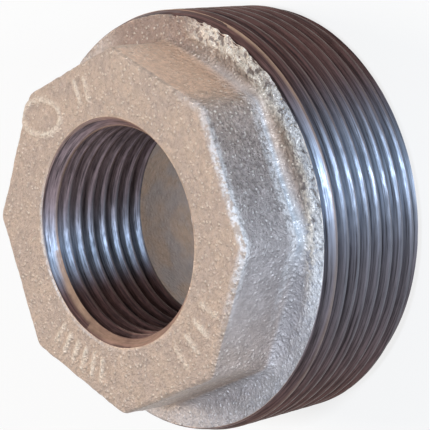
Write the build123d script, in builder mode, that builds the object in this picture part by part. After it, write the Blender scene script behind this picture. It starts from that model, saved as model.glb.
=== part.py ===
from build123d import *
import os
from math import atan, cos, degrees, radians, tan

# Reducing bushing: an octagonal wrench head on a round barrel, cast in one piece.
# The barrel carries a 2 inch male taper pipe thread. The head holds a 1 inch female one,
# which opens behind into a cored recess. The bushing stands on the barrel's end, head up.
# All sizes are in millimetres.

# Taper pipe thread form
threads_per_inch = 11.5
pitch = 25.4 / threads_per_inch
taper_per_mm = 1 / 32                 # change of radius along the axis
flank_angle = 30                      # each flank to the plane across the axis
crest_flat = 0.22

# Barrel and its male thread
barrel_length = 19.7                  # end face to shoulder
male_end_radius = 29.7                # thread crest at the small end
end_chamfer = 1.2
thread_stop_gap = 1.0                 # middle of the groove, where it stops, to shoulder
thread_stop_direction = 212           # angle from +X at which it stops
rim_height = 0.9                      # plain cast rim under the shoulder
rim_chamfer = 0.5
rim_slope = 0.6                       # along the axis, from the last crest to the rim
rim_step = 0.55                       # the rim lies this far inside the last crest

# Head
head_sides = 8
head_length = 11.5                    # shoulder to head face
corner_ledge = 3.6                    # shoulder left outside the head's corners
corner_radius = 2.0                   # cast rounding of the upright corners
face_edge_radius = 0.7
valley_radius = 1.9                   # fillet between the flats and the shoulder

# Threaded socket in the head, left smooth at its crests, and the cored recess behind it
socket_crest_radius = 14.7
socket_mouth_radius = 16.3
socket_length = 17.2                  # head face to the end of the thread
recess_top_radius = 15.9
recess_end_radius = 19.0
recess_chamfer = 0.8

# Worked out from the sizes above
overall_length = barrel_length + head_length
thread_length = barrel_length - thread_stop_gap
crest_length = barrel_length - rim_height - rim_slope
rim_radius = male_end_radius + crest_length * taper_per_mm - rim_step
corner_distance = rim_radius - corner_ledge
flat_distance = corner_distance * cos(radians(180 / head_sides))
mouth_chamfer = socket_mouth_radius - socket_crest_radius
socket_end = overall_length - socket_length
half_width = (pitch - crest_flat) / 2
groove_depth = half_width / tan(radians(flank_angle))


def crest_radius(height):
    """Radius of the male thread's crests at a height above the end face."""
    return male_end_radius + height * taper_per_mm


# Thread groove: a right-handed helix on the cone of the crests, which enters one pitch below
# the end face. The section is a vee up to the crests, and goes straight on outside them.
entry_height = -pitch
groove_turns = (thread_length - entry_height) / pitch
cone_angle = degrees(atan(taper_per_mm))
cutter_overshoot = pitch / 2
with BuildPart() as groove:
    with BuildLine() as groove_path:
        groove_helix = Helix(
            pitch=pitch / cos(radians(cone_angle)),
            height=groove_turns * pitch,
            radius=crest_radius(entry_height),
            center=(0, 0, entry_height),
            cone_angle=cone_angle,
        )
    with BuildSketch(Plane(groove_helix @ 0, x_dir=(1, 0, 0), z_dir=(0, -1, 0))):
        with BuildLine():
            Polyline(
                (-groove_depth, 0),
                (0, half_width),
                (cutter_overshoot, half_width),
                (cutter_overshoot, -half_width),
                (0, -half_width),
                close=True,
            )
        make_face()
    sweep(path=groove_path.line, is_frenet=True)

with BuildPart() as bushing:
    # Barrel blank: chamfered end, taper over the crests, and the cast rim of the shoulder
    with BuildSketch(Plane.XZ):
        with BuildLine():
            Polyline(
                (0, 0),
                (male_end_radius - end_chamfer, 0),
                (crest_radius(end_chamfer), end_chamfer),
                (crest_radius(crest_length), crest_length),
                (rim_radius, barrel_length - rim_height),
                (rim_radius, barrel_length - rim_chamfer),
                (rim_radius - rim_chamfer, barrel_length),
                (0, barrel_length),
                close=True,
            )
        make_face()
    revolve(axis=Axis.Z)
    groove_direction = thread_stop_direction - 360 * groove_turns
    add(groove.part, rotation=(0, 0, groove_direction), mode=Mode.SUBTRACT)

    # Octagonal head, its flats square to X and Y, with a fillet where it meets the shoulder
    with BuildSketch(Plane.XY.offset(barrel_length)) as head_outline:
        RegularPolygon(
            flat_distance, head_sides, major_radius=False, rotation=180 / head_sides
        )
        fillet(head_outline.vertices(), corner_radius)
    extrude(amount=head_length)
    shoulder = bushing.faces().filter_by(Plane.XY).sort_by(Axis.Z)[-2]
    fillet(shoulder.inner_wires()[0].edges(), valley_radius)
    head_face = bushing.faces().sort_by(Axis.Z)[-1]
    fillet(head_face.edges(), face_edge_radius)

    # Socket and recess, bored through on the axis
    with BuildSketch(Plane.XZ):
        with BuildLine():
            Polyline(
                (0, 0),
                (recess_end_radius + recess_chamfer, 0),
                (recess_end_radius, recess_chamfer),
                (recess_top_radius, socket_end),
                (socket_crest_radius, socket_end),
                (socket_crest_radius, overall_length - mouth_chamfer),
                (socket_mouth_radius, overall_length),
                (0, overall_length),
                close=True,
            )
        make_face()
    revolve(axis=Axis.Z, mode=Mode.SUBTRACT)

bushing.part.label = "bushing"

os.makedirs("parts", exist_ok=True)
export_step(bushing.part, "parts/bushing.step")
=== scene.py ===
import math
from collections import namedtuple

import bmesh
import bpy
import numpy as np
from mathutils import Matrix, Vector


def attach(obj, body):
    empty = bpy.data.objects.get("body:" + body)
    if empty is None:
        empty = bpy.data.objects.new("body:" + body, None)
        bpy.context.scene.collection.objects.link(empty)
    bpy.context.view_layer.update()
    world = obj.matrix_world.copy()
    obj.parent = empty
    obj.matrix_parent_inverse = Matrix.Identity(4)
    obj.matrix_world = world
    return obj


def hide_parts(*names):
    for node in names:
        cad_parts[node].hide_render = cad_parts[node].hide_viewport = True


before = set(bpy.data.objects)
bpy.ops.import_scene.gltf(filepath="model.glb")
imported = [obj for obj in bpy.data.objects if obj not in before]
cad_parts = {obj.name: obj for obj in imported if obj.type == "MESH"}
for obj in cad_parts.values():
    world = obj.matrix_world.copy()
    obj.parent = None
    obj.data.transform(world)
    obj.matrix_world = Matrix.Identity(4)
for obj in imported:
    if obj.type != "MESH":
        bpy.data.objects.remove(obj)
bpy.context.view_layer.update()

# A galvanised reducing bushing, shown by one closed skin that replaces the plain solid. The skin is
# a grid: its columns stand round the axis, and its rows walk from the head face over the outside
# and back up through the bore. Where a thread is, the rows follow the helix.

scene = bpy.context.scene
MM = 0.001

# ---------------------------------------------------------------- sizes, in millimetres
# Both threads: 60 degree form, on a taper of 1 in 16 on the diameter
PITCH = 25.4 / 11.5
TAPER = 1 / 32
FLANK = math.tan(math.radians(30))
ROOT_FLAT = 0.05            # half the flat at a groove's bottom

# Barrel
MALE_R = 29.7               # crests at the end face
MALE_DEPTH = 1.62
MALE_PHASE = 17.40          # height of a groove's middle at angle 0
END_CHAMFER = 1.2
FADE_TURNS = (0.86, 1.06)   # the last groove fades between these turns from angle 0
FADE_STOP = 1.07            # and is gone from this one on
FADE_LIFT = 0.4             # its bottom ends this far outside the crests
BEYOND = 99.0               # a radius outside everything
RIM_HEIGHTS = [18.15, 18.75, 19.0, 19.3, 19.55, 19.7]
RIM_RADII = [30.3, 29.93, 29.9, 29.85, 29.75, 29.6]

# Head
SHOULDER_Z = 19.7
SHOULDER_R = 29.5
FACE_Z = 31.0
APOTHEM = 24.11
SECTOR = 45                 # degrees to one side of the octagon
CORNER_ROUND = 2.0          # radius of its upright corners
FACE_ROUND = 0.8            # of its edge at the head face
VALLEY = 1.9                # and of the fillet where it meets the shoulder

# Socket and recess
MOUTH_R = 16.22
MOUTH_GAP = 0.12            # grooves reach this far outside the mouth
FEMALE_R = 14.85            # crests at the head face
FEMALE_DEPTH = 1.62
FEMALE_PHASE = 30.16        # height of a groove's middle at angle 0
SOCKET_END = 13.8
SOCKET_LEAD = 1.2           # height over which the thread grows to its depth
SOCKET_STEP = 0.15          # the socket starts this far inside the recess
RECESS_TOP = 15.95
RECESS_END = 18.5
RECESS_LIP = 0.6            # height of the eased edge at the recess's end
RECESS_EDGE = 0.4           # and its width

# Grid of the skin
COLUMNS = 432
THETA = np.linspace(0, 360, COLUMNS, endpoint=False)
FACE_RINGS, FLAT_RINGS, LEDGE_RINGS, END_RINGS, RECESS_RINGS = 21, 16, 12, 4, 10
ROUND_STEPS = np.radians([20, 40, 60, 80])
HALF = PITCH / 2
MALE_OFFSETS = [-0.05, 0.05, 0.42, 0.78, HALF - 0.12, HALF - 0.05, HALF + 0.05, HALF + 0.12,
                PITCH - 0.78, PITCH - 0.42]
FEMALE_OFFSETS = [-0.05, 0.05, 0.45, 0.82, HALF - 0.1, HALF + 0.1, PITCH - 0.82, PITCH - 0.45]
CAST, MALE, FEMALE = 0, 1, 2

# Zones of the skin
FACE_ZONE = FACE_Z - 0.6    # the head face and its edge are above this
FLATS_ZONE = SHOULDER_Z + 1.0   # the flats are above this, and the ledge below
LEDGE_ZONE = 10             # the end face and the recess's lip are below this
LEDGE_INNER, RECESS_OUTER = 22, 20   # radii

# Relief, in layers of noise: a depth and a cell size, then a shift
LUMPS = (0.08, 3.4, 0.0), (0.05, 1.4, 5.3)
GRAIN = (0.09, 0.9, 9.1), (0.06, 0.5, 3.7)
RAGGED = (0.20, 1.1, 2.2), (0.12, 0.6, 8.2)
GRANULE_DEPTH = 0.26
THREAD_GRAIN = 0.018        # depth

# Foundry marks on the head face, plain ones: an oval ring and rows of short strokes
OVAL_X = (20.0, -2.3, 1.5)  # middle, then the reach of its short and its long axis
OVAL_Y = (8.4, 1.1, 4.0)
STROKE_ROWS = ((352, 358, 2), (118, 146, 6), (196, 222, 4))   # first and last angle, number
STROKE_ENDS = (19.0, 22.0)  # radii
MARK_WIDTH = 0.8
MARK_HEIGHT = 0.30


# ---------------------------------------------------------------- smooth steps and seeded noise
def smooth(x, lo, hi):
    """0 at lo, 1 at hi, with level ends."""
    t = np.clip((x - lo) / (hi - lo), 0, 1)
    return t * t * (3 - 2 * t)


CELLS = 64
rng = np.random.default_rng(7)
LATTICE = rng.uniform(-1, 1, (CELLS, CELLS, CELLS))


def noise(p, scale, shift=0.0):
    """Value noise in -1..1 at points p (n, 3), with cells `scale` mm wide."""
    q = p / scale + shift + 1000.0
    i = np.floor(q).astype(int)
    f = q - i
    f = f * f * (3 - 2 * f)
    i %= CELLS - 1
    out = 0.0
    for dx in (0, 1):
        for dy in (0, 1):
            for dz in (0, 1):
                w = ((f[:, 0] if dx else 1 - f[:, 0]) * (f[:, 1] if dy else 1 - f[:, 1])
                     * (f[:, 2] if dz else 1 - f[:, 2]))
                out = out + w * LATTICE[i[:, 0] + dx, i[:, 1] + dy, i[:, 2] + dz]
    return out


# ---------------------------------------------------------------- surfaces
def octagon(theta, offset):
    """Radius of the head's rounded octagon, grown by an offset, at angles in degrees."""
    half = math.radians(SECTOR / 2)
    phi = np.radians((theta + SECTOR / 2) % SECTOR - SECTOR / 2)
    flat_distance = APOTHEM + offset
    round_radius = CORNER_ROUND + offset
    round_centre = (APOTHEM - CORNER_ROUND) / math.cos(half)
    flat = flat_distance / np.cos(phi)
    psi = half - np.abs(phi)
    reach = round_radius ** 2 - (round_centre * np.sin(psi)) ** 2
    arc = round_centre * np.cos(psi) + np.sqrt(np.maximum(reach, 0))
    on_arc = np.abs(flat_distance * np.tan(phi)) > (APOTHEM - CORNER_ROUND) * math.tan(half)
    return np.where(on_arc, arc, flat)


def male_surface(theta, z):
    """Radius of the cut barrel, and how near the point is to a crest (1) or a root (0)."""
    cone = MALE_R + z * TAPER
    chamfer = MALE_R - END_CHAMFER + z
    rim_r = np.interp(z, RIM_HEIGHTS, RIM_RADII)
    blank = np.minimum(np.minimum(cone, chamfer), rim_r)
    g = (z - MALE_PHASE - PITCH * theta / 360) / PITCH
    k = np.round(g)
    dz = np.abs(g - k) * PITCH
    turn = theta / 360 + k
    fade = smooth(turn, *FADE_TURNS)
    depth = MALE_DEPTH * (1 - fade) - FADE_LIFT * fade
    root = MALE_R + z * TAPER - depth
    groove = root + np.maximum(dz - ROOT_FLAT, 0) / FLANK
    groove = np.where(turn > FADE_STOP, BEYOND, groove)
    r = np.minimum(blank, groove)
    return r, np.clip((r - root) / MALE_DEPTH, 0, 1)


def socket_blank(z):
    """Radius of the socket before its thread is cut: a tapered wall with a chamfered mouth."""
    return np.maximum(FEMALE_R - (FACE_Z - z) * TAPER, MOUTH_R - (FACE_Z - z))


def female_surface(theta, z):
    """Radius of the tapped hole, and how near the point is to a crest (1) or a root (0)."""
    g = (z - FEMALE_PHASE - PITCH * theta / 360) / PITCH
    dz = np.abs(g - np.round(g)) * PITCH
    root = FEMALE_R - (FACE_Z - z) * TAPER + FEMALE_DEPTH
    groove = root - np.maximum(dz - ROOT_FLAT, 0) / FLANK
    groove = np.minimum(groove, MOUTH_R + MOUTH_GAP)
    r = np.maximum(socket_blank(z), groove)
    grown = smooth(z, SOCKET_END, SOCKET_END + SOCKET_LEAD)
    r = np.minimum(r, RECESS_TOP - SOCKET_STEP + 2 * grown)
    return r, np.clip((root - r) / FEMALE_DEPTH, 0, 1)


def thread_rows(offsets, phase, z_lo, z_hi):
    """Heights (rows, columns) that follow the helix and stop at both ends."""
    first = math.floor((z_lo - PITCH - phase) / PITCH) - 1
    last = math.ceil((z_hi - phase) / PITCH) + 2
    rows = np.array([phase + k * PITCH + o for k in range(first, last) for o in offsets])
    z = rows[:, None] + PITCH * THETA[None, :] / 360
    return np.clip(z, z_lo, z_hi)


# ---------------------------------------------------------------- rows of the skin
# One block holds rows in the order of the walk. per_turn is the number of rows that a thread
# climbs in one turn, and 0 where rows are plain rings.
Block = namedtuple("Block", "radius height crest part per_turn")
blocks = []


def ring(r, z):
    r = np.broadcast_to(np.asarray(r, float), (COLUMNS,))
    z = np.broadcast_to(np.asarray(z, float), (COLUMNS,))
    blocks.append(Block(r[None], z[None], np.zeros((1, COLUMNS)), CAST, 0))


# head face, outward from the socket's mouth
mouth = female_surface(THETA, np.full(COLUMNS, FACE_Z))[0]
outer = octagon(THETA, -FACE_ROUND)
for t in np.linspace(0, 1, FACE_RINGS + 1)[1:]:
    ring(mouth + (outer - mouth) * t, FACE_Z)
# face edge, flats, valley and shoulder
for a in ROUND_STEPS:
    ring(octagon(THETA, -FACE_ROUND * (1 - math.sin(a))), FACE_Z - FACE_ROUND * (1 - math.cos(a)))
for z in np.linspace(FACE_Z - FACE_ROUND - 0.1, SHOULDER_Z + VALLEY, FLAT_RINGS):
    ring(octagon(THETA, 0), z)
for a in ROUND_STEPS:
    ring(octagon(THETA, VALLEY * (1 - math.cos(a))), SHOULDER_Z + VALLEY * (1 - math.sin(a)))
inner = octagon(THETA, VALLEY)
for t in np.linspace(0.08, 1, LEDGE_RINGS):
    ring(inner + (SHOULDER_R - inner) * t, SHOULDER_Z)
# barrel, whose rows run downwards
z = thread_rows(MALE_OFFSETS, MALE_PHASE, 0.0, SHOULDER_Z - 0.02)
r, crest = male_surface(THETA[None, :], z)
blocks.append(Block(r[::-1], z[::-1], crest[::-1], MALE, len(MALE_OFFSETS)))
# end face and recess
end_r = male_surface(THETA, np.zeros(COLUMNS))[0]
for t in np.linspace(0.15, 1, END_RINGS):
    ring(end_r + (RECESS_END + RECESS_EDGE - end_r) * t, 0.0)
ring(RECESS_END + 0.1, 0.2)
ring(RECESS_END, RECESS_LIP)
for t in np.linspace(0.08, 1, RECESS_RINGS):
    ring(RECESS_END + (RECESS_TOP - RECESS_END) * t, RECESS_LIP + (SOCKET_END - RECESS_LIP) * t)
# socket, back up to the head face
z = thread_rows(FEMALE_OFFSETS, FEMALE_PHASE, SOCKET_END, FACE_Z)
r, crest = female_surface(THETA[None, :], z)
blocks.append(Block(r, z, crest, FEMALE, len(FEMALE_OFFSETS)))

radius = np.concatenate([b.radius for b in blocks])
height = np.concatenate([b.height for b in blocks])
row_part = np.concatenate([[b.part] * len(b.radius) for b in blocks])
index = np.arange(radius.size).reshape(radius.shape)
angle = np.radians(THETA)[None, :]
points = np.stack([radius * np.cos(angle), radius * np.sin(angle), height], axis=-1).reshape(-1, 3)

# the neighbour in the next column: past angle 0, a thread's row meets the one a pitch away
beside = np.roll(index, -1, axis=1)
start = 0
for b in blocks:
    length = len(b.radius)
    if b.per_turn:
        shift = b.per_turn if b.part == FEMALE else -b.per_turn
        target = np.clip(np.arange(length) + shift, 0, length - 1) + start
        beside[start:start + length, -1] = index[target, 0]
    start += length
below = np.roll(index, -1, axis=0)
below_beside = np.roll(beside, -1, axis=0)
quads = np.stack([index, below, below_beside, beside], axis=-1).reshape(-1, 4)
same_part = row_part == np.roll(row_part, -1)
quad_threaded = np.repeat(same_part & (row_part != CAST), COLUMNS)

# ---------------------------------------------------------------- zones, as values at each point
th_v = np.broadcast_to(THETA[None, :], radius.shape).reshape(-1)
r_v, z_v = radius.reshape(-1), height.reshape(-1)
crest_v = np.concatenate([b.crest for b in blocks]).reshape(-1)
part = np.repeat(row_part, COLUMNS)
cast, male, female = (part == p for p in (CAST, MALE, FEMALE))
head_face = cast & (z_v > FACE_ZONE)
flats = cast & (z_v <= FACE_ZONE) & (z_v > FLATS_ZONE)
ledge = cast & (z_v <= FLATS_ZONE) & (z_v > LEDGE_ZONE) & (r_v > LEDGE_INNER)
inside = cast & (r_v < RECESS_OUTER) & (z_v < SOCKET_END + 0.1)


def near(angle, width):
    """1 at an angle round the axis, falling to 0 at `width` degrees from it."""
    d = np.abs((th_v - angle + 180) % 360 - 180)
    return 1 - smooth(d, 0, width)


def broad(angle, width, full, low=0.0):
    """As near, but 1 wherever near is above `full`, and 0 where it is below `low`."""
    return smooth(near(angle, width), low, full)


# how coarse the skin is, and where it has separate granules
coarse = 0.35 * head_face + 0.45 * flats + ledge * (0.35 + 0.5 * near(285, 70))
coarse = (coarse + 0.55 * flats * near(275, 40) - 0.3 * flats * near(225, 25)
          - 0.2 * flats * near(320, 25))
granular = ledge * (0.08 + 0.92 * broad(288, 80, 0.6, 0.05)) * smooth(r_v, 26.0, 27.2)

# warm (0) to cool (1), painted light by side: blue on the side lit from the right; plain grey on
# the hidden side
cool = (0.12 * head_face + flats * (0.30 + 0.65 * near(248, 70))
        + ledge * (0.15 + 0.80 * broad(208, 85, 0.75)))
cool = cool - 0.25 * flats * near(318, 35) + (male * near(246, 62) + female * near(72, 45))
hidden = broad(85, 100, 0.6)
cool = np.maximum(cool, hidden * (0.75 * flats + 0.65 * ledge + 0.6 * male))
# painted light: the upper flats lighter and warmer
sunny = flats * broad(318, 32, 0.6)
# painted shade: parts of the ledge darker
shaded = ledge * (broad(345, 32, 0.7) + 0.22 * near(178, 22))

# painted highlights on the shoulder's rim and on the edges of the head and the mouth, and a smooth
# valley with a painted reflection
rim = smooth(r_v, 26.6, 28.6) * ledge * (0.1 + 0.9 * broad(260, 50, 0.6))
valley = (cast * smooth(z_v, 19.72, 20.2) * (1 - smooth(z_v, 20.9, 21.4)) * (r_v < 28.3)
          * broad(280, 55, 0.5))
front = ((head_face | flats) * smooth(r_v, octagon(th_v, -1.3), octagon(th_v, -0.5))
         * smooth(z_v, 29.5, 30.1))
back = flats * smooth(z_v, 21.1, 21.4) * (1 - smooth(z_v, 21.9, 22.5))
edge = 0.8 * front * near(262, 50) + back * near(262, 55)
edge = edge + 0.7 * head_face * (1 - smooth(r_v, 16.4, 17.0)) * near(100, 75)

# threads: painted highlight where bluest, painted light where the socket is palest, and the lands
# where zinc is left at the mouth and last crest
blue = male * near(265, 30) + female * near(82, 28)
pale = female * near(28, 70)
land = (female * smooth(z_v, 28.5, 28.9) * (np.abs(r_v - socket_blank(z_v)) < 0.03)
        * (0.35 + 0.65 * near(112, 50)))
land = land + male * smooth(z_v, 17.3, 17.8) * (crest_v > 0.9) * (0.25 + 0.75 * near(325, 60))

zones = {"crest": crest_v, "part": part, "coarse": coarse, "rim": rim, "cool": cool, "land": land,
         "valley": valley, "edge": edge, "granular": granular, "pale": pale, "sunny": sunny,
         "blue": blue, "shaded": shaded, "mark": np.zeros(len(r_v)), "inside": inside}

# ---------------------------------------------------------------- one closed mesh
MERGE = 2e-6                # metres
SHORTEST_EDGE = 1e-7
mesh = bpy.data.meshes.new("bushing_skin")
mesh.from_pydata((points * MM).tolist(), [], quads.tolist())
mesh.polygons.foreach_set("material_index", quad_threaded.astype(np.int32))
for name, zone in zones.items():
    attribute = mesh.attributes.new(name, "FLOAT", "POINT")
    attribute.data.foreach_set("value", np.asarray(zone, float).astype(np.float32))
bm = bmesh.new()
bm.from_mesh(mesh)
bmesh.ops.remove_doubles(bm, verts=bm.verts, dist=MERGE)
bmesh.ops.dissolve_degenerate(bm, edges=bm.edges, dist=SHORTEST_EDGE)
bmesh.ops.recalc_face_normals(bm, faces=bm.faces)
open_edges = sum(1 for e in bm.edges if len(e.link_faces) != 2)
bm.to_mesh(mesh)
bm.free()

# ---------------------------------------------------------------- relief of the casting
SHARP_ANGLE = 42            # edges keener than this are shaded sharp
count = len(mesh.vertices)


def vectors(name):
    out = np.empty(count * 3)
    mesh.vertices.foreach_get(name, out)
    return out.reshape(-1, 3)


def values(name):
    out = np.empty(count)
    mesh.attributes[name].data.foreach_get("value", out)
    return out


co, nor = vectors("co"), vectors("normal")
pmm = co / MM


def layered(layers):
    """Sum of some layers of noise at the points of the skin."""
    return sum(depth * noise(pmm, size, shift) for depth, size, shift in layers)


def bead(line):
    """1 on a low bead along a line of points on the head face, falling to 0 beside it."""
    best = np.full(count, BEYOND)
    for (x0, y0), (x1, y1) in zip(line, line[1:]):
        d = np.array([x1 - x0, y1 - y0])
        t = np.clip(((pmm[:, 0] - x0) * d[0] + (pmm[:, 1] - y0) * d[1]) / (d @ d), 0, 1)
        best = np.minimum(best, np.hypot(pmm[:, 0] - x0 - t * d[0], pmm[:, 1] - y0 - t * d[1]))
    return 1 - smooth(best, 0.25 * MARK_WIDTH, 0.75 * MARK_WIDTH)


# foundry marks, worn low
lines = [[tuple(m + short * math.cos(a) + long * math.sin(a) for m, short, long in (OVAL_X, OVAL_Y))
          for a in np.radians(np.linspace(0, 360, 25))]]
for first, last, number in STROKE_ROWS:
    for a in np.radians(np.linspace(first, last, number)):
        lines.append([(end * math.cos(a), end * math.sin(a)) for end in STROKE_ENDS])
marks = np.zeros(count)
for line in lines:
    marks = np.maximum(marks, bead(line))
marks = marks * (pmm[:, 2] > FACE_Z - 0.2) * (0.8 + 0.4 * noise(pmm, 1.5, 6.1))
mesh.attributes["mark"].data.foreach_set("value", marks.astype(np.float32))

# lumps everywhere, grain where the skin is coarse, granules, and ragged edges
lumps = layered(LUMPS) + MARK_HEIGHT * marks
granules = GRANULE_DEPTH * values("granular") * noise(pmm, 1.15, 1.7)
on_rim = smooth(np.hypot(pmm[:, 0], pmm[:, 1]), 28.6, SHOULDER_R) * (pmm[:, 2] > 19.2)
ragged = (on_rim + smooth(values("edge"), 0, 1)) * layered(RAGGED)
cast_push = (lumps * (1 - 0.6 * values("inside")) + 1.5 * values("coarse") * layered(GRAIN)
             + granules + ragged)
thread_push = THREAD_GRAIN * noise(pmm, 1.2, 4.4)
push = np.where(values("part") < 0.5, cast_push, thread_push)
co = co + nor * (push * MM)[:, None]
co[:, 2] = np.maximum(co[:, 2], 0.0)
mesh.vertices.foreach_set("co", co.reshape(-1))
mesh.update()
mesh.polygons.foreach_set("use_smooth", [True] * len(mesh.polygons))
mesh.set_sharp_from_angle(angle=math.radians(SHARP_ANGLE))
skin = bpy.data.objects.new("bushing_skin", mesh)
scene.collection.objects.link(skin)
print("skin verts", count, "open edges", open_edges,
      "tris", sum(len(p.vertices) - 2 for p in mesh.polygons))


# ---------------------------------------------------------------- materials
class Shader:
    """A material's node tree, with short calls for what is used below."""

    def __init__(self, name):
        self.material = bpy.data.materials.new(name)
        self.material.use_nodes = True
        self.tree = self.material.node_tree
        self.bsdf = self.tree.nodes["Principled BSDF"]
        scaled = self.node("ShaderNodeVectorMath", operation="SCALE")
        self.link(self.node("ShaderNodeTexCoord").outputs["Object"], scaled.inputs[0])
        scaled.inputs["Scale"].default_value = 1 / MM
        self.point = scaled.outputs[0]

    def node(self, kind, **settings):
        n = self.tree.nodes.new(kind)
        for k, v in settings.items():
            setattr(n, k, v)
        return n

    def link(self, a, b):
        self.tree.links.new(a, b)

    def put(self, socket, value):
        if isinstance(value, bpy.types.NodeSocket):
            self.link(value, socket)
        else:
            socket.default_value = value

    def noise(self, scale, detail=3.0, rough=0.5, vector=None):
        n = self.node("ShaderNodeTexNoise")
        self.link(vector or self.point, n.inputs["Vector"])
        n.inputs["Scale"].default_value = scale
        n.inputs["Detail"].default_value = detail
        n.inputs["Roughness"].default_value = rough
        return n.outputs["Fac"]

    def cells(self, scale):
        """Distance to the nearest of points strewn `scale` to the millimetre."""
        n = self.node("ShaderNodeTexVoronoi")
        self.link(self.point, n.inputs["Vector"])
        n.inputs["Scale"].default_value = scale
        return n.outputs["Distance"]

    def math(self, op, a, b=0.0, c=0.0, clamp=False):
        n = self.node("ShaderNodeMath", operation=op, use_clamp=clamp)
        for k, v in enumerate((a, b, c)):
            self.put(n.inputs[k], v)
        return n.outputs[0]

    def times(self, a, b, clamp=False):
        return self.math("MULTIPLY", a, b, clamp=clamp)

    def scaled(self, a, factor, offset, clamp=False):
        return self.math("MULTIPLY_ADD", a, factor, offset, clamp=clamp)

    def span(self, x, lo, hi, out_lo=0.0, out_hi=1.0):
        """x from lo..hi to out_lo..out_hi, with level ends."""
        n = self.node("ShaderNodeMapRange", interpolation_type="SMOOTHSTEP")
        self.put(n.inputs["Value"], x)
        for k, v in (("From Min", lo), ("From Max", hi), ("To Min", out_lo), ("To Max", out_hi)):
            n.inputs[k].default_value = v
        return n.outputs["Result"]

    def mix(self, fac, a, b, blend="MIX"):
        n = self.node("ShaderNodeMix", data_type="RGBA", blend_type=blend)
        self.put(n.inputs["Factor"], fac)
        for key, v in (("A", a), ("B", b)):
            socket = next(i for i in n.inputs if i.name == key and i.type == "RGBA")
            self.put(socket, (*v, 1) if isinstance(v, tuple) else v)
        return next(o for o in n.outputs if o.type == "RGBA")

    def vector(self, x, y, z):
        n = self.node("ShaderNodeCombineXYZ")
        for socket, v in zip(n.inputs, (x, y, z)):
            self.put(socket, v)
        return n.outputs[0]

    def shade(self, base, level):
        """The colour times a grey level."""
        n = self.node("ShaderNodeCombineColor")
        for k in range(3):
            self.put(n.inputs[k], level)
        return self.mix(1.0, base, n.outputs[0], "MULTIPLY")

    def attr(self, name):
        return self.node("ShaderNodeAttribute", attribute_name=name).outputs["Fac"]

    def bump(self, height, strength, distance):
        n = self.node("ShaderNodeBump")
        self.put(n.inputs["Height"], height)
        self.put(n.inputs["Strength"], strength)
        n.inputs["Distance"].default_value = distance
        return n.outputs["Normal"]

    def out(self, name, value):
        self.put(self.bsdf.inputs[name], value)


# zinc: a pair is the lighter and darker cloud, or the warm and cool form, which is painted light by
# side
WARM_ZINC = (0.51, 0.355, 0.252), (0.44, 0.305, 0.222)
COOL_ZINC = (0.35, 0.34, 0.37), (0.45, 0.435, 0.47)
CORED_IRON = (0.54, 0.37, 0.26), (0.42, 0.345, 0.32)
# painted light on the upper flats
SUNNY_ZINC = (0.68, 0.455, 0.325)
# painted shade on parts of the ledge
SHADED_ZINC = (0.29, 0.185, 0.14)
# painted highlight on the shoulder's rim, strongest on the side lit from the right
RIM_HIGHLIGHT_ZINC = (0.88, 0.92, 1.0)
# painted reflection: a blue-grey band in the valley on the lit side
VALLEY_REFLECTION_ZINC = (0.40, 0.47, 0.56)
# painted highlight on the edges of the head and the mouth
EDGE_HIGHLIGHT_ZINC = (0.90, 0.93, 1.0)
# painted highlight on the foundry marks
MARK_HIGHLIGHT_ZINC = (0.90, 0.78, 0.64)
# painted shade in the gaps between granules
GAP_SHADE = (0.26, 0.20, 0.165), (0.23, 0.225, 0.24)
# painted highlights on the granules' tops
GRANULE_HIGHLIGHTS = (1.0, 0.88, 0.74), (0.96, 0.97, 1.0)
GLINTS = (1.0, 0.84, 0.66), (0.92, 0.94, 1.0)
# painted shade in the pits
PIT = (0.15, 0.125, 0.125)


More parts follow.
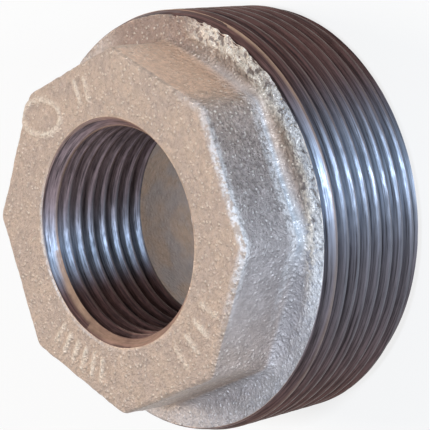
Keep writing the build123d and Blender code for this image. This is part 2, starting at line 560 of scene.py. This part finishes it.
def zinc():
    s = Shader("zinc_skin")
    names = ("coarse", "rim", "cool", "inside", "valley", "edge", "granular", "mark")
    coarse, rim, cool, inside, valley, edge, granular, mark = (s.attr(k) for k in names)
    patch = s.span(s.noise(0.22, 3), 0.35, 0.65)
    cloud = s.noise(0.9, 4, 0.6)
    clump = s.noise(1.25, 3, 0.65)
    knobs = s.noise(0.95, 2, 0.55)
    grain = s.noise(2.3, 3, 0.6)
    fine = s.noise(4.2, 2, 0.6)
    spot = s.cells(1.3)
    plain = s.math("SUBTRACT", 1.0, s.times(valley, 0.8), clamp=True)

    # broad colour, warm or cool by side as painted light
    base = s.mix(cool, s.mix(patch, *WARM_ZINC), s.mix(patch, *COOL_ZINC))
    # painted light on the upper flats
    base = s.mix(s.attr("sunny"), base, SUNNY_ZINC)
    # painted highlight on the shoulder's rim
    base = s.mix(rim, base, RIM_HIGHLIGHT_ZINC)
    # painted shade in the gaps between granules
    base = s.mix(s.times(granular, s.span(knobs, 0.34, 0.41, 0.85, 0.0)), base, s.mix(cool, *GAP_SHADE))
    # painted highlights on the granules' tops
    base = s.mix(s.times(granular, s.span(knobs, 0.41, 0.47, 0.0, 0.95)), base,
                 s.mix(rim, *GRANULE_HIGHLIGHTS))
    # painted shade on parts of the ledge
    base = s.mix(s.times(s.attr("shaded"), 0.92), base, SHADED_ZINC)
    # painted reflection in the valley
    base = s.mix(s.times(valley, s.scaled(cool, 0.9, 0.1), clamp=True), base, VALLEY_REFLECTION_ZINC)
    base = s.mix(s.times(inside, 0.9), base, s.mix(patch, *CORED_IRON))

    # clouds and clumps, then painted shade in the pits, painted glints, and painted highlights on
    # the edges and the marks
    rugged = s.times(s.math("SUBTRACT", clump, 0.5), s.times(coarse, 1.7))
    level = s.math("ADD", s.span(cloud, 0.3, 0.72, 0.86, 1.12), s.times(rugged, plain))
    base = s.shade(base, level)
    # painted shade in the dents of the grain
    pits = s.times(s.span(grain, 0.42, 0.32), s.scaled(coarse, 0.85, 0.05), clamp=True)
    base = s.mix(s.times(pits, plain), base, PIT)
    glint = s.times(s.span(spot, 0.36, 0.18), s.span(fine, 0.42, 0.58))
    glint = s.times(glint, s.scaled(coarse, 1.2, 0.08), clamp=True)
    base = s.mix(s.times(glint, plain), base, s.mix(cool, *GLINTS))
    # painted highlight on the edges
    base = s.mix(s.times(edge, s.span(clump, 0.40, 0.54, 0.25, 1.0), clamp=True), base, EDGE_HIGHLIGHT_ZINC)
    # painted highlight on the foundry marks
    base = s.mix(s.times(mark, s.span(grain, 0.40, 0.60, 0.2, 0.7)), base, MARK_HIGHLIGHT_ZINC)
    s.out("Base Color", base)
    s.out("Metallic", 0.15)
    s.out("Roughness", s.scaled(valley, -0.10, s.span(grain, 0.3, 0.7, 0.50, 0.30)))
    s.out("Specular IOR Level", 0.8)

    bumps = s.scaled(grain, 0.8, s.times(fine, 0.3))
    bumps = s.math("ADD", bumps, s.times(s.times(clump, coarse), 1.4))
    bumps = s.math("ADD", bumps, s.times(s.times(knobs, granular), 2.2))
    bumps = s.math("ADD", bumps, s.times(s.span(spot, 0.45, 0.1), 0.4))
    strength = s.times(s.scaled(coarse, 0.7, 0.30, clamp=True), plain)
    s.out("Normal", s.bump(bumps, strength, 0.0012))
    return s.material


# cut steel: a pair is the warm and the cool form, painted light by side, or the barrel's and the
# socket's
STEEL = (0.102, 0.053, 0.049), (0.155, 0.150, 0.180)
# painted highlight band on the barrel and in the socket
HIGHLIGHT_STEEL = (0.20, 0.245, 0.325), (0.27, 0.34, 0.45)
# painted light on one side of the socket
LIT_STEEL = (0.275, 0.210, 0.228)
# painted highlight along the crests
CREST_HIGHLIGHT_STEEL = (0.120, 0.078, 0.068), (0.165, 0.175, 0.21)
# painted shade towards the roots
ROOT_SHADE = (0.03, 0.022, 0.026)
LINE_DIRT = (0.035, 0.028, 0.034)
LAND_ZINC = (0.46, 0.31, 0.22)


def steel():
    s = Shader("thread_steel")
    crest, cool, land = s.attr("crest"), s.attr("cool"), s.attr("land")
    socket = s.span(s.attr("part"), 1.4, 1.6)
    split = s.node("ShaderNodeSeparateXYZ")
    s.link(s.point, split.inputs[0])
    x, y, z = split.outputs
    turn = s.math("ARCTAN2", y, x)
    radius = s.math("SQRT", s.math("ADD", s.times(x, x), s.times(y, y)))
    # tool lines run round the axis; dashes are shorter and wider
    streak = s.noise(1.0, 4, 0.65, s.vector(s.times(turn, 2.4), s.times(radius, 4.0),
                                            s.times(z, 3.4)))
    dash = s.noise(1.0, 3, 0.6, s.vector(s.times(turn, 14.0), s.times(radius, 2.2),
                                         s.times(z, 2.2)))

    # painted light: warm or cool by side
    tone = s.mix(cool, *STEEL)
    # painted highlight band
    tone = s.mix(s.attr("blue"), tone, s.mix(socket, *HIGHLIGHT_STEEL))
    # painted light on one side of the socket
    tone = s.mix(s.attr("pale"), tone, LIT_STEEL)
    # painted shade towards the roots
    base = s.mix(s.span(crest, 0.0, 0.35, 0.85, 1.0), ROOT_SHADE, tone)
    base = s.shade(base, s.span(streak, 0.36, 0.64, 0.6, 1.45))
    base = s.mix(s.span(streak, 0.42, 0.32, 0.0, 0.7), base, LINE_DIRT)
    # painted highlight along the crests
    line = s.times(s.span(crest, 0.90, 0.96), s.span(streak, 0.3, 0.6, 0.3, 1.0))
    base = s.mix(line, base, s.mix(cool, *CREST_HIGHLIGHT_STEEL))
    base = s.mix(s.times(land, s.span(s.noise(0.35, 3), 0.3, 0.6, 0.6, 1.0)), base, LAND_ZINC)
    s.out("Base Color", base)
    s.out("Metallic", 0.75)
    s.out("Roughness", s.scaled(s.math("ADD", land, socket), 0.15,
                                s.span(dash, 0.3, 0.7, 0.54, 0.32), clamp=True))
    s.out("Anisotropic", 0.75)
    s.out("Anisotropic Rotation", 0.25)
    tangent = s.node("ShaderNodeTangent", direction_type="RADIAL", axis="Z")
    s.out("Tangent", tangent.outputs[0])
    s.out("Normal", s.bump(s.scaled(streak, 0.6, s.times(dash, 0.5)), 0.30, 0.00010))
    return s.material


mesh.materials.append(zinc())
mesh.materials.append(steel())

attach(skin, "root")
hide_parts("bushing")

# ---------------------------------------------------------------- camera
# The photo shows the part on its side, so the camera is rolled to see it so while it stands.
CAMERA_PLACE = (-0.0530468, -0.2684605, 0.2589663)
CAMERA_RIGHT = (-0.28925233, -0.61632813, -0.73244299)
CAMERA_UP = (0.94630531, -0.299494, -0.12169471)
CAMERA_BACK = (-0.14435841, -0.72831516, 0.66986392)
cam_data = bpy.data.cameras.new("camera")
cam_data.lens = 213.796
cam_data.sensor_width = 36.0
cam_data.clip_start = 0.01
cam_data.clip_end = 10.0
cam = bpy.data.objects.new("camera", cam_data)
axes = Matrix((Vector(CAMERA_RIGHT), Vector(CAMERA_UP), Vector(CAMERA_BACK)))
matrix = axes.transposed().to_4x4()
matrix.translation = Vector(CAMERA_PLACE)
cam.matrix_world = matrix
scene.collection.objects.link(cam)
scene.camera = cam

# ---------------------------------------------------------------- floor, world and lamps
FLOOR_SIZE = 6.0
FLOOR_DROP = 0.0001         # keeps the floor off the part's end face
FLOOR_GLOW = 0.8            # share of white that the eye sees in the floor; the rest takes shadow
WORLD_SEEN, WORLD_LIGHT = 1.0, 0.20


def background(tree, socket, seen_value, light_value):
    """One value for camera, glossy and transmission rays, and another for the rest."""
    path = tree.nodes.new("ShaderNodeLightPath")
    seen = path.outputs["Is Camera Ray"]
    for key in ("Is Glossy Ray", "Is Transmission Ray"):
        most = tree.nodes.new("ShaderNodeMath")
        most.operation = "MAXIMUM"
        tree.links.new(seen, most.inputs[0])
        tree.links.new(path.outputs[key], most.inputs[1])
        seen = most.outputs[0]
    choice = tree.nodes.new("ShaderNodeMapRange")
    tree.links.new(seen, choice.inputs["Value"])
    choice.inputs["To Min"].default_value = light_value
    choice.inputs["To Max"].default_value = seen_value
    tree.links.new(choice.outputs["Result"], socket)


bpy.ops.mesh.primitive_plane_add(size=FLOOR_SIZE, location=(0, 0, -FLOOR_DROP))
floor = bpy.context.object
floor.name = "floor"
floor_material = bpy.data.materials.new("floor_white")
floor_material.use_nodes = True
tree = floor_material.node_tree
bsdf = tree.nodes["Principled BSDF"]
bsdf.inputs["Base Color"].default_value = (0.85, 0.85, 0.85, 1)
bsdf.inputs["Roughness"].default_value = 0.9
glow = tree.nodes.new("ShaderNodeEmission")
glow.inputs["Color"].default_value = (1, 1, 1, 1)
glow.inputs["Strength"].default_value = 1.0
both = tree.nodes.new("ShaderNodeMixShader")
background(tree, both.inputs[0], FLOOR_GLOW, 0.0)
tree.links.new(bsdf.outputs[0], both.inputs[1])
tree.links.new(glow.outputs[0], both.inputs[2])
tree.links.new(both.outputs[0], tree.nodes["Material Output"].inputs[0])
floor.data.materials.append(floor_material)

world = bpy.data.worlds.new("world")
scene.world = world
world.use_nodes = True
sky = world.node_tree.nodes["Background"]
sky.inputs["Color"].default_value = (1, 1, 1, 1)
background(world.node_tree, sky.inputs["Strength"], WORLD_SEEN, WORLD_LIGHT)

# Square area lamps aimed at the part's middle: name, azimuth from +X and elevation in degrees,
# distance and size in metres, watts, colour
AIM = Vector((0, 0, 0.018))
LAMPS = [
    ("flash", 268, 70, 0.50, 0.06, 1.35, (0.80, 0.89, 1.0)),
    ("side", 258, 10, 0.50, 0.06, 1.1, (0.84, 0.92, 1.0)),
    ("warm_soft", 62, 38, 0.60, 0.20, 2.0, (1.0, 0.88, 0.76)),
]
for name, azimuth, elevation, distance, size, watts, colour in LAMPS:
    data = bpy.data.lights.new(name, "AREA")
    data.energy = watts
    data.size = size
    data.color = colour
    lamp = bpy.data.objects.new(name, data)
    a, e = math.radians(azimuth), math.radians(elevation)
    toward = Vector((math.cos(a) * math.cos(e), math.sin(a) * math.cos(e), math.sin(e)))
    lamp.location = AIM + distance * toward
    lamp.rotation_euler = (AIM - lamp.location).to_track_quat("-Z", "Y").to_euler()
    scene.collection.objects.link(lamp)

scene.view_settings.view_transform = "Standard"
